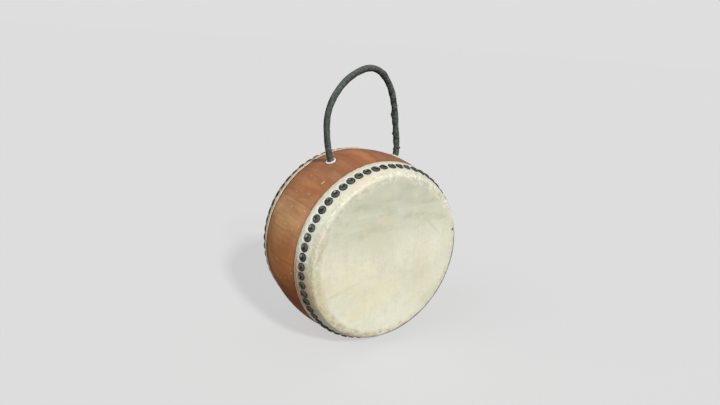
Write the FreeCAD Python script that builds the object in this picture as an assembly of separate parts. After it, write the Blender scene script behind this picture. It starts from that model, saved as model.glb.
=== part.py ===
import FreeCAD, Part
import math
import os

from FreeCAD import Vector

os.makedirs("parts", exist_ok=True)

# A small barrel drum with two tacked rawhide heads and a rope handle.
# Millimetres and degrees. +Z is up through the handle, the front head faces -Y,
# and the origin is the point under the belly that the drum stands on.

# Shell of glued staves
belly_radius = 124.8
barrel_curve = 165.0
wood_half_depth = 69.0
stave_count = 20
stave_thickness = 10.0
seam_phase = -1.2
edge_ease = 3.0
crest_width = 3.6

# Rawhide heads, folded over the rim and down to a hem
skin_thickness = 1.2
skin_gap = 0.05
fold_radius = 4.2
fold_steps = 3
hem_width = 28.2

# Domed tacks, a whole number to each stave
tacks_per_stave = 3
tack_setback = 15.9
tack_seat_margin = 1.5
tack_head_radius = 5.5
tack_head_height = 2.2
tack_crown_height_share = 0.74
tack_crown_radius_share = 0.64
tack_sides = 8
tack_shank_width = 2.0
tack_shank_length = 9.0
shank_sides = 4

# Rope handle
handle_setback = 3.5
grommet_angle = 23.9
rope_radius = 4.15
rope_sides = 10
bend_share = 0.45
bend_step = 12.0
foot_steps = 3
hinge_gap = 0.35

# Grommets that line the holes
rope_clearance = 0.25
grommet_wall = 0.9
grommet_flange_width = 1.7
grommet_flange_thickness = 1.7
grommet_flange_ease = 0.7
grommet_sides = 20
grommet_clearance = 0.05
seat_depth = 0.3

# Knotted rope ends inside the shell
knot_radius = 8.5
knot_height = 13.0
knot_shoulder_share = 0.3
knot_gap = 0.05
tail_length = 12.0

# Allowance by which cutting shapes run past what they cut
overrun = 20.0

# Route of the rope between the grommets: x, and height over the top of the shell
handle_route = [
    (-58.2, 18.7),
    (-59.8, 46.2),
    (-52.8, 68.2),
    (-36.6, 89.6),
    (-17.0, 102.0),
    (1.0, 107.2),
    (18.5, 101.8),
    (34.6, 82.8),
    (42.8, 58.2),
    (46.8, 34.2),
    (50.8, 12.2),
]

stave_angle = 360.0 / stave_count
tack_angle = stave_angle / tacks_per_stave
axis_height = belly_radius
axis_point = Vector(0, 0, axis_height)
along_axis = Vector(0, 1, 0)
head_half_depth = wood_half_depth + skin_gap + skin_thickness
hem_half_spacing = wood_half_depth - hem_width
tack_half_spacing = wood_half_depth - tack_setback


def barrel(y, inset=0.0):
    """Radius of the barrel curve at y, for a surface that lies inset under the wood's outside."""
    curve = barrel_curve - inset
    return belly_radius - inset - curve + math.sqrt(curve**2 - y**2)


def around(radius, y, angle):
    """A point at a radius and a depth, at an angle round the drum's axis from the top."""
    turn = math.radians(angle)
    return Vector(radius * math.sin(turn), y, axis_height + radius * math.cos(turn))


def turned(shape, angle):
    """A copy of a shape at the top of the drum, moved round the drum's axis."""
    copy = shape.copy()
    copy.rotate(axis_point, along_axis, angle)
    return copy


def flat_face(corners):
    """Flat face with these corners, of which neighbours may fall together."""
    corners = [c for n, c in enumerate(corners) if c != corners[n - 1]]
    return Part.Face(Part.makePolygon(corners + corners[:1]))


def closed_solid(faces):
    """Solid bounded by flat faces that meet edge to edge."""
    shell = Part.makeShell(faces)
    shell.sewShape()
    solid = Part.Solid(shell)
    return solid if solid.Volume > 0 else solid.reversed()


def bands(row, other):
    """Faces that join two rings with the same number of corners."""
    return [flat_face([row[i - 1], row[i], other[i], other[i - 1]]) for i in range(len(row))]


def lofted(rows, closed=False):
    """Solid through rings of corners, capped unless the rings close on the first one."""
    faces = [face for row, other in zip(rows, rows[1:]) for face in bands(row, other)]
    if closed:
        faces += bands(rows[-1], rows[0])
    else:
        faces += [flat_face(row) for row in (rows[0], rows[-1]) if row[0] != row[1]]
    return closed_solid(faces)


def upright_ring(radius, height, sides):
    """Corners of a level polygon round +Z, all in one point where the radius is zero."""
    if radius == 0:
        return [Vector(0, 0, height)] * sides
    turns = [math.radians(360.0 * (i + 0.5) / sides) for i in range(sides)]
    return [Vector(radius * math.cos(t), radius * math.sin(t), height) for t in turns]


def upright(rings, sides, closed=False):
    """Solid of flat sides round +Z through (radius, height) rings."""
    return lofted([upright_ring(radius, height, sides) for radius, height in rings], closed)


def save(node, shape):
    """One file for each node, after a test of its solids."""
    for solid in shape.Solids:
        assert solid.isValid() and solid.Volume > 0, node
    shape.exportStep("parts/" + node + ".step")


# Depths at which the barrel's outside is measured, from the belly to the rim. The tacks
# sit square on a straight band of their own.
tack_seat_half = tack_head_radius + tack_seat_margin
seat_start = tack_half_spacing - tack_seat_half
seat_end = tack_half_spacing + tack_seat_half
stations = [0.0, seat_start / 2, seat_start, seat_end, wood_half_depth - edge_ease]
crest_outer = barrel(wood_half_depth) - edge_ease
crest_inner = crest_outer - crest_width


def make_stave(number):
    """One stave: flats outside, one flat inside, radial joints and a bevelled crest at each end."""
    start = seam_phase + number * stave_angle
    angles = [start + i * tack_angle for i in range(tacks_per_stave + 1)]
    spread = math.cos(math.radians(stave_angle / 2))
    half = [(y, barrel(y), barrel(y, stave_thickness)) for y in stations]
    half.append((wood_half_depth, crest_outer, crest_inner))
    rows = []
    for y, outer, inner in [(-y, r, inside) for y, r, inside in reversed(half) if y > 0] + half:
        row = [around(outer, y, angle) for angle in angles]
        rows.append(row + [around(inner / spread, y, angle) for angle in (angles[-1], angles[0])])
    # Each radial joint is one face, in place of a face for each band.
    sides = len(angles)
    faces = [flat_face(rows[0]), flat_face(rows[-1])]
    for row, other in zip(rows, rows[1:]):
        faces += [face for n, face in enumerate(bands(row, other)) if n not in (0, sides)]
    for outside, inside in ((0, -1), (sides - 1, sides)):
        edge = [row[outside] for row in rows] + [row[inside] for row in reversed(rows)]
        faces.append(flat_face(edge))
    return closed_solid(faces)


def make_head(side):
    """Rawhide head: a flat disc, a round fold over the rim, and a skirt down to the hem."""
    wood = [(barrel(hem_half_spacing), hem_half_spacing)]
    wood += [(barrel(y), y) for y in stations if y > hem_half_spacing]
    inner = [(r + skin_gap, y) for r, y in wood]
    outer = [(r + skin_gap + skin_thickness, y) for r, y in wood]
    inner_flat = wood_half_depth + skin_gap
    # The fold leaves the skirt at a tangent and meets the flat disc at a tangent.
    (r0, y0), (r1, y1) = outer[-2], outer[-1]
    lean = math.atan2(r0 - r1, y1 - y0)
    centre_y = head_half_depth - fold_radius
    touch_y = centre_y + fold_radius * math.sin(lean)
    touch_r = r0 - (touch_y - y0) * math.tan(lean)
    centre_r = touch_r - fold_radius * math.cos(lean)
    turns = [math.pi / 2 - (math.pi / 2 - lean) * i / fold_steps for i in range(fold_steps + 1)]
    outline = [(0.0, head_half_depth)]
    outline += [(centre_r + fold_radius * math.cos(t), centre_y + fold_radius * math.sin(t)) for t in turns]
    outline += list(reversed(outer[:-1])) + inner
    outline += [(crest_outer + skin_gap, inner_flat), (0.0, inner_flat)]
    angles = [seam_phase + i * tack_angle for i in range(stave_count * tacks_per_stave)]
    rows = [[around(r, side * y, angle) for angle in angles] for r, y in outline[1:-1]]
    return lofted(rows)


def make_tack(side):
    """Domed tack at the top of the drum, its head flat on the skin and its shank in the wood."""
    crown_radius = tack_head_radius * tack_crown_radius_share
    crown_height = tack_head_height * tack_crown_height_share
    dome = upright([(tack_head_radius, 0), (crown_radius, crown_height), (0, tack_head_height)], tack_sides)
    shank = upright([(tack_shank_width / math.sqrt(2), 0), (0, -tack_shank_length)], shank_sides)
    tack = dome.fuse(shank).Solids[0]
    # The skin under a tack is one flat, lower than its corners by this share.
    flat_share = math.cos(math.radians(tack_angle / 2))
    fall = (barrel(seat_start) - barrel(seat_end)) * flat_share
    lean = math.degrees(math.atan2(fall, seat_end - seat_start))
    middle = (barrel(seat_start) + barrel(seat_end)) / 2 + skin_gap + skin_thickness
    tack.rotate(Vector(0, 0, 0), Vector(1, 0, 0), -side * lean)
    tack.translate(Vector(0, side * tack_half_spacing, axis_height + middle * flat_share))
    return tack


def tack_ring(side):
    """All the tacks of one head, evenly spaced between the stave seams."""
    tack = make_tack(side)
    count = stave_count * tacks_per_stave
    angles = [seam_phase + (i + 0.5) * tack_angle for i in range(count)]
    return Part.makeCompound([turned(tack, angle) for angle in angles])


grommet_bore = rope_radius + rope_clearance
sleeve_radius = grommet_bore + grommet_wall
grommet_flange_radius = sleeve_radius + grommet_flange_width
seat_radius = belly_radius - seat_depth
flange_top = seat_radius + grommet_flange_thickness
sleeve_end = belly_radius - stave_thickness
hinge_radius = flange_top + hinge_gap + rope_radius


def at_grommet(shape, side):
    """A shape round +Z, with heights from the drum's axis, moved to one of the grommets."""
    shape.translate(Vector(0, handle_setback, axis_height))
    return turned(shape, side * grommet_angle)


def make_grommet(side):
    """Flanged sleeve with a bevelled flange, open for the rope."""
    rings = [
        (grommet_bore, flange_top),
        (grommet_flange_radius - grommet_flange_ease, flange_top),
        (grommet_flange_radius, flange_top - grommet_flange_ease),
        (grommet_flange_radius, seat_radius),
        (sleeve_radius, seat_radius),
        (sleeve_radius, sleeve_end),
        (grommet_bore, sleeve_end),
    ]
    return at_grommet(upright(rings, grommet_sides, True), side)


def make_grommet_hole(side):
    """What a grommet takes out of its stave: a bore, and a flat seat under the flange."""
    hole_radius = sleeve_radius + grommet_clearance
    recess_radius = grommet_flange_radius + grommet_clearance
    top = belly_radius + overrun
    bottom = sleeve_end - overrun
    rings = [(recess_radius, top), (recess_radius, seat_radius), (hole_radius, seat_radius), (hole_radius, bottom)]
    return at_grommet(upright(rings, grommet_sides), side)


def make_rope_end(side):
    """The rope inside the shell: up through the grommet, stopped by a knot, with a short tail."""
    knot_top = sleeve_end - knot_gap
    knot_bottom = knot_top - knot_height
    shoulder = knot_height * knot_shoulder_share
    rings = [
        (rope_radius, flange_top),
        (rope_radius, knot_top),
        (knot_radius, knot_top - shoulder),
        (knot_radius, knot_bottom + shoulder),
        (rope_radius, knot_bottom),
        (rope_radius, knot_bottom - tail_length),
    ]
    return at_grommet(upright(rings, rope_sides), side)


def handle_points():
    """The rope's route from one hinge point to the other."""
    side = hinge_radius * math.sin(math.radians(grommet_angle))
    height = hinge_radius * math.cos(math.radians(grommet_angle)) - belly_radius
    route = [(-side, height)] + handle_route + [(side, height)]
    return [Vector(x, handle_setback, axis_height + belly_radius + z) for x, z in route]


def rounded_course(points):
    """Places and headings along straight runs with a tangent arc at each corner."""
    course = [(points[0], (points[1] - points[0]).normalize())]
    radii = []
    for before, corner, after in zip(points, points[1:], points[2:]):
        reach = bend_share * min((corner - before).Length, (after - corner).Length)
        way_in = (corner - before).normalize()
        way_out = (after - corner).normalize()
        turn = way_in.getAngle(way_out)
        radius = reach / math.tan(turn / 2)
        radii.append(radius)
        inward = (way_out - way_in * math.cos(turn)).normalize()
        centre = corner - way_in * reach + inward * radius
        steps = math.ceil(math.degrees(turn) / bend_step)
        for i in range(steps + 1):
            t = turn * i / steps
            place = centre + (way_in * math.sin(t) - inward * math.cos(t)) * radius
            course.append((place, way_in * math.cos(t) + inward * math.sin(t)))
    course.append((points[-1], (points[-1] - points[-2]).normalize()))
    print("rope bends, mm:", " ".join(f"{r:.0f}" for r in radii))
    return course


def rope_ring(place, heading, radius):
    """Corners of the rope's section at a place, square to its heading."""
    if radius == 0:
        return [place] * rope_sides
    across = heading.cross(along_axis).normalize()
    turns = [math.radians(360.0 * i / rope_sides) for i in range(rope_sides)]
    return [place + (across * math.cos(t) + along_axis * math.sin(t)) * radius for t in turns]


def rope_foot(place, outward):
    """Rings from the tip of a foot's ball up to its middle, which is on the hinge line."""
    rings = []
    for i in range(foot_steps):
        t = math.pi / 2 * (1 - i / foot_steps)
        radius = rope_radius * math.cos(t) if i else 0
        rings.append((place + outward * (rope_radius * math.sin(t)), radius))
    return rings


def make_handle():
    """The rope over the shell, with a half ball at each foot that turns on the hinge line."""
    course = rounded_course(handle_points())
    (first, heading), (last, last_heading) = course[0], course[-1]
    rows = [rope_ring(place, heading, radius) for place, radius in rope_foot(first, heading * -1)]
    rows += [rope_ring(place, way, rope_radius) for place, way in course]
    rows += [rope_ring(place, last_heading, radius) for place, radius in reversed(rope_foot(last, last_heading))]
    length = sum((b[0] - a[0]).Length for a, b in zip(course, course[1:]))
    print(f"rope: {length:.1f} mm over {len(rows)} rings")
    return lofted(rows)


holes = {side: make_grommet_hole(side) for side in (-1, 1)}
for i in range(stave_count):
    piece = make_stave(i)
    middle = seam_phase + (i + 0.5) * stave_angle
    for side, hole in holes.items():
        offset = (middle - side * grommet_angle + 180.0) % 360.0 - 180.0
        if abs(offset) < stave_angle / 2:
            piece = piece.cut(hole).Solids[0]
    save(f"stave_{i + 1:02d}", piece)

save("front_head", make_head(-1))
save("back_head", make_head(1))
save("front_tacks", tack_ring(-1))
save("back_tacks", tack_ring(1))
save("left_grommet", make_grommet(-1))
save("right_grommet", make_grommet(1))
save("left_rope_end", make_rope_end(-1))
save("right_rope_end", make_rope_end(1))
save("handle_rope", make_handle())
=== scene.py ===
import math
import random

import bmesh
import bpy
import numpy as np
from mathutils import Matrix, Vector, noise


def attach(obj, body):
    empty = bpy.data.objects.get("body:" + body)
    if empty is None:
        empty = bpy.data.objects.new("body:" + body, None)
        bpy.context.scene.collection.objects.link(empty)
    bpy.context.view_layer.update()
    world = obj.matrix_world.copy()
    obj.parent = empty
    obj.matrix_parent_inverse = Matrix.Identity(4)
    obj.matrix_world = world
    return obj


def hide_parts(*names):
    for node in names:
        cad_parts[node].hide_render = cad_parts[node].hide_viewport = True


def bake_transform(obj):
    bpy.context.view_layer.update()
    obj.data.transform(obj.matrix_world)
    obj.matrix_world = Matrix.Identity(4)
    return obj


# A small barrel drum with two tacked rawhide heads and a rope handle. Metres and degrees.
# +Z is up through the handle, and the front head faces -Y.

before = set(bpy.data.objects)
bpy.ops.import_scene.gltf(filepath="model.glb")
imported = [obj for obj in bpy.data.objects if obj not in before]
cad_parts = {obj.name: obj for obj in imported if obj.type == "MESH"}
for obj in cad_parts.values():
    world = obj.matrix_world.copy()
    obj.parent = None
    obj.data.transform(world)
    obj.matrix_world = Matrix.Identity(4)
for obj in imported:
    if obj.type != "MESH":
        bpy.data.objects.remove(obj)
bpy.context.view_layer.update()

# Shell of glued staves
belly_radius = 0.1248
barrel_curve = 0.165
wood_half_depth = 0.069
stave_count = 20
stave_thickness = 0.010
seam_phase = -1.2
edge_ease = 0.003
crest_width = 0.0036
inner_bevel_slope = 1.6
seam_ease_width = 0.0005
seam_ease_depth = 0.00012
points_across = 21
points_along = 71
weld_distance = 0.000001

# Boards with plain grain: how far off the middle of the rings lies, and how it is drawn out
plain_heart = 0.03
heart_wander = 0.008
plain_arch = 0.03

# Rawhide heads. A trim above zero cuts the hem short. The skin thins to its hem over the feather.
skin_thickness = 0.0012
skin_gap = 0.00005
fold_radius = 0.0050
hem_half_spacing = 0.0408
lip_overlap = 0.0004
front_trim = -0.0009
back_trim = 0.0012
front_feather = 0.0014
back_feather = 0.0035
crest_ring_radius = 0.1030
head_segments = 720
face_rows = 30
fold_rows = 10
skirt_rows = 30
lining_rows = 9

# How far the rawhide rises, sinks or is cut unevenly, and as shares of the skin and of a bite
pucker_height = 0.00055
swell_height = 0.00020
hem_swell_height = 0.00060
swell_reach = 0.0123
pleat_height = 0.00028
sag_depth = 0.00035
crest_line_depth = 0.00012
wrinkle_height = 0.00010
hem_wave = 0.00045
hem_nicks = 0.00018
hem_thinning = 0.62
bite_depth = 1.15

# Domed tacks, and how far they press into each head
tacks_per_head = 60
tack_half_spacing = 0.0531
tack_radius = 0.0055
tack_height = 0.0022
tack_seat_half = 0.0070
tack_sides = 16
shank_radius = 0.0010
shank_length = 0.0090
front_bite = 0.0002
back_bite = 0.0005

# Rope handle and its grommets
handle_setback = 0.0035
grommet_angle = 23.9
grommet_bore = 0.0044
grommet_sides = 48
sleeve_radius = 0.0053
flange_radius = 0.0070
flange_top = 0.1262
seat_radius = 0.1245
lip_curl = 0.0006
bore_middle = 0.1205
hinge_radius = 0.1307
rope_radius = 0.00415
rope_sides = 36
rope_step = 0.0006
cloth_pitch = 0.0135
thread_pitch = 0.00085
lap_height = 0.00016
knot_radius = 0.0085
knot_top = 0.1147
knot_bottom = 0.1017
knot_turns = 1.75
knot_squeeze = 0.96
knot_drop = 0.0045
knot_sides = 20
knot_step = 0.0012
tail_length = 0.014

# Route of the rope between the grommets: x, and height over the top of the shell
handle_route = [
    (-0.0582, 0.0187),
    (-0.0598, 0.0462),
    (-0.0528, 0.0682),
    (-0.0366, 0.0896),
    (-0.0170, 0.1020),
    (0.0010, 0.1072),
    (0.0185, 0.1018),
    (0.0346, 0.0828),
    (0.0428, 0.0582),
    (0.0468, 0.0342),
    (0.0508, 0.0122),
]

# Camera at the photograph's viewing angle
photo_width = 720.0
sensor_width = 36.0
focal_pixels = 534.0
camera_place = Vector((-0.3894, -0.5673, 0.3916))
camera_right = Vector((0.83666, -0.54375, 0.06585))
camera_up = Vector((0.10841, 0.28224, 0.95320))

# Depth of the finest relief on each finish
grain_relief = 0.00010
hide_relief = 0.00022
dent_relief = 0.00030
plastic_relief = 0.00004
weave_relief = 0.00022

# Studio: the backdrop's tone on the screen, the sky light above and below, and the lit floor
backdrop_tone = 222
sky_above = 0.25
sky_below = 0.12
floor_tone = (0.22, 0.22, 0.22, 1.0)
floor_glow = (0.515, 0.515, 0.515, 1.0)
floor_half_size = 30.0
lamp_distance = 1.6

# Lamps, as (name, direction it shines from, strength, tone, disc in degrees, seen in gloss).
# The bounce stands for the light that the floor throws back.
lamps = [
    ("key", (-0.05, -0.78, 0.62), 2.86, (1.0, 0.995, 0.98), 7.0, True),
    ("fill", (-0.8, 0.0, 0.5), 0.82, (0.98, 0.99, 1.0), 60.0, True),
    ("back", (0.25, 0.95, 0.0), 0.36, (1.0, 0.99, 0.97), 40.0, False),
    ("bounce", (0.0, -0.05, -1.0), 0.66, (1.0, 0.95, 0.88), 90.0, False),
]

axis_height = belly_radius
stave_half_width = math.pi * belly_radius / stave_count
stave_angle = 360.0 / stave_count
tack_angle = 360.0 / tacks_per_head
skin_offset = skin_gap + skin_thickness
head_half_depth = wood_half_depth + skin_offset
MM = 0.001


def barrel(y, inset=0.0):
    """Radius of the barrel curve at y, for a surface that lies inset under the wood's outside."""
    curve = barrel_curve - inset
    return belly_radius - inset - curve + np.sqrt(curve**2 - y**2)


def around(radius, y, angle):
    """A point at a radius and a depth, at an angle round the drum's axis from the top."""
    turn = np.radians(angle)
    x = radius * np.sin(turn)
    return np.stack([x, y + 0 * x, axis_height + radius * np.cos(turn)], -1)


def bump(value, middle, width):
    """One at the middle, falling smoothly to almost nothing over the width."""
    return np.exp(-(((value - middle) / width) ** 2))


def ramp(value, low, high):
    """Smooth step from zero at low to one at high."""
    t = np.clip((value - low) / (high - low), 0, 1)
    return t * t * (3 - 2 * t)


def rough(x, y, z, scale, seed):
    """Smooth noise at places given in metres, between about -1 and 1."""
    places = zip(np.ravel(x) * scale, np.ravel(y) * scale, np.ravel(z + 0 * x) * scale)
    values = [noise.noise(Vector((a, b, c + 17.0 * seed))) for a, b, c in places]
    return np.array(values).reshape(np.shape(x))


class Wire:
    """An output of a node tree. Arithmetic on it adds Math nodes, and node() adds any other."""

    def __init__(self, tree, socket=None):
        self.tree = tree
        self.socket = socket

    def node(self, kind, inputs=None, output=0, **settings):
        """Adds a node, sets it up, feeds its sockets by name or number, and gives one output."""
        made = self.tree.nodes.new(kind)
        for name, value in settings.items():
            setattr(made, name, value)
        for key, value in (inputs or {}).items():
            if isinstance(value, Wire):
                self.tree.links.new(value.socket, made.inputs[key])
            else:
                made.inputs[key].default_value = value
        return Wire(self.tree, made.outputs[output])

    def math(self, operation, *values):
        return self.node("ShaderNodeMath", dict(enumerate(values)), operation=operation)

    def __add__(self, other):
        return self.math("ADD", self, other)

    def __sub__(self, other):
        return self.math("SUBTRACT", self, other)

    def __rsub__(self, other):
        return self.math("SUBTRACT", other, self)

    def __mul__(self, other):
        return self.math("MULTIPLY", self, other)

    def __truediv__(self, other):
        return self.math("DIVIDE", self, other)

    def __abs__(self):
        return self.math("ABSOLUTE", self)

    __radd__ = __add__
    __rmul__ = __mul__

    def step(self, low, high):
        """Smooth step from zero at low to one at high."""
        values = {"Value": self, "From Min": low, "From Max": high}
        return self.node("ShaderNodeMapRange", values, interpolation_type="SMOOTHSTEP")

    def hump(self, middle, width):
        """One at the middle, falling smoothly to zero at a width away."""
        return 1 - abs(self - middle).step(0, width)

    def across_to(self, other):
        """The length of the diagonal over this and another."""
        return self.math("SQRT", self * self + other * other)

    def object_place(self):
        """Where the surface is, in its object."""
        return self.node("ShaderNodeTexCoord", output=3)

    def parts(self):
        """The three parts of a vector."""
        made = self.node("ShaderNodeSeparateXYZ", {0: self}).socket.node
        return [Wire(self.tree, socket) for socket in made.outputs]

    def vector(self, x, y, z):
        return self.node("ShaderNodeCombineXYZ", {0: x, 1: y, 2: z})

    def grain(self, place, scale, detail=2.0, rough_share=0.5):
        """Noise between about 0 and 1 at a place."""
        values = {"Vector": place, "Scale": scale, "Detail": detail, "Roughness": rough_share}
        return self.node("ShaderNodeTexNoise", values)

    def tint(self, amount, below, above):
        """A colour from below, where the amount is zero, to above, where it is one."""
        values = {0: amount, 6: below, 7: above}
        return self.node("ShaderNodeMix", values, 2, data_type="RGBA")

    def under(self, *layers):
        """This colour under layers, each an amount and a tone as it looks on the screen."""
        done = self
        for amount, tone in layers:
            done = done.tint(amount, done, colour(*tone))
        return done

    def stained(self, amount, *shares):
        """This colour with so much of its red, green and blue left, where the amount is one."""
        values = {0: amount, 6: self, 7: (*shares, 1.0)}
        return self.node("ShaderNodeMix", values, 2, data_type="RGBA", blend_type="MULTIPLY")


def colour(red, green, blue):
    """A colour as it looks on the screen, from 0 to 255, as linear values."""
    shares = [v / 255 for v in (red, green, blue)]
    return [s / 12.92 if s < 0.04045 else ((s + 0.055) / 1.055) ** 2.4 for s in shares] + [1.0]


def new_material(name, **values):
    """A material with its shader's steady values, and a wire to start its tree from.

    Here and in feed(), underlines in the names stand for spaces.
    """
    material = bpy.data.materials.new(name)
    material.use_nodes = True
    shader = material.node_tree.nodes["Principled BSDF"]
    for label, value in values.items():
        shader.inputs[label.replace("_", " ")].default_value = value
    return material, shader, Wire(material.node_tree)


def feed(shader, **wires):
    """Links wires to a shader's sockets."""
    for label, wire in wires.items():
        wire.tree.links.new(wire.socket, shader.inputs[label.replace("_", " ")])


def relief(wire, height, depth):
    """A normal that follows a height between 0 and 1, which stands for a depth in metres."""
    return wire.node("ShaderNodeBump", {"Strength": 1.0, "Distance": depth, "Height": height})


def mesh_of_rings(name, rings, closed=False):
    """A closed mesh through rings of points, with a pole at each end or joined end to end."""
    rings = np.asarray(rings, float)
    count, size = rings.shape[:2]
    points = rings.reshape(-1, 3).tolist()
    faces = []
    for a in range(count if closed else count - 1):
        b = (a + 1) % count
        for i in range(size):
            j = (i + 1) % size
            faces.append((a * size + i, a * size + j, b * size + j, b * size + i))
    if not closed:
        for ring in (0, count - 1):
            points.append(rings[ring].mean(0).tolist())
            pole = len(points) - 1
            faces += [(ring * size + i, ring * size + (i + 1) % size, pole) for i in range(size)]
    mesh = bpy.data.meshes.new(name)
    mesh.from_pydata(points, [], faces)
    turn_outwards(mesh)
    return mesh


def turn_outwards(mesh):
    """Makes every face of a closed mesh point outwards."""
    work = bmesh.new()
    work.from_mesh(mesh)
    bmesh.ops.recalc_face_normals(work, faces=work.faces)
    work.to_mesh(mesh)
    work.free()


def added(name, data):
    """A new object of the scene."""
    made = bpy.data.objects.new(name, data)
    bpy.context.scene.collection.objects.link(made)
    return made


def piece(name, mesh, material, crease=40.0):
    """An object of the drum, smooth except at edges sharper than the crease."""
    mesh.name = name
    if not mesh.materials:
        mesh.materials.append(material)
    mesh.shade_smooth()
    mesh.set_sharp_from_angle(angle=math.radians(crease))
    made = added(name, mesh)
    return made


def shell_piece(name, node, mesh, material, crease=40.0):
    """A piece that the shell carries, in place of a CAD node."""
    made = piece(name, mesh, material, crease)
    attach(made, "shell")
    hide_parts(node)
    return made


def baked(obj, name):
    """A plain mesh of what an object's modifiers make. The object is removed."""
    depsgraph = bpy.context.evaluated_depsgraph_get()
    mesh = bpy.data.meshes.new_from_object(obj.evaluated_get(depsgraph))
    bpy.data.objects.remove(obj)
    mesh.name = name
    return mesh


class NodeShape:
    """A Geometry Nodes tree with named inputs, set up for one piece."""

    def __init__(self, name, inputs):
        self.tree = bpy.data.node_groups.new(name, "GeometryNodeTree")
        sockets = self.tree.interface
        sockets.new_socket("Geometry", in_out="OUTPUT", socket_type="NodeSocketGeometry")
        self.keys = {}
        for label, kind in inputs.items():
            socket = sockets.new_socket(label, in_out="INPUT", socket_type="NodeSocket" + kind)
            self.keys[label] = socket.identifier
        self.entry = self.tree.nodes.new("NodeGroupInput")

    def input(self, label):
        return Wire(self.tree, self.entry.outputs[label])

    def finish(self, geometry, material):
        """Ends the tree: instances made real, and the material set."""
        real = geometry.node("GeometryNodeRealizeInstances", {0: geometry})
        done = real.node("GeometryNodeSetMaterial", {"Geometry": real, "Material": material})
        exit_node = self.tree.nodes.new("NodeGroupOutput")
        self.tree.links.new(done.socket, exit_node.inputs[0])

    def make(self, name, **values):
        """A plain mesh of the tree with these inputs. Underlines in the names stand for spaces."""
        carrier = added(name, bpy.data.meshes.new(name))
        modifier = carrier.modifiers.new(name, "NODES")
        modifier.node_group = self.tree
        for label, value in values.items():
            modifier[self.keys[label.replace("_", " ")]] = value
        return baked(carrier, name)


# Materials

# Stains of the boards
stains = {
    "amber": colour(175, 117, 80),
    "fawn": colour(169, 119, 88),
    "russet": colour(176, 120, 81),
    "honey": colour(208, 164, 118),
    "tan": colour(193, 136, 86),
    "toffee": colour(192, 122, 69),
    "chestnut": colour(171, 101, 61),
    "umber": colour(158, 102, 65),
    "walnut": colour(144, 78, 38),
}

# The stain of each stave, from the first one right of the top, clockwise from the front
stave_stains = [
    "fawn", "fawn", "russet", "tan", "honey",
    "umber", "chestnut", "tan", "russet", "umber",
    "chestnut", "tan", "umber", "walnut", "toffee",
    "tan", "honey", "russet", "fawn", "amber",
]

# Joints that show as a dark line, by the stave before them. The others are glued tight.
open_joints = {16: 0.34, 3: 0.35, 9: 0.40}
tight_joint = 0.10


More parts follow.
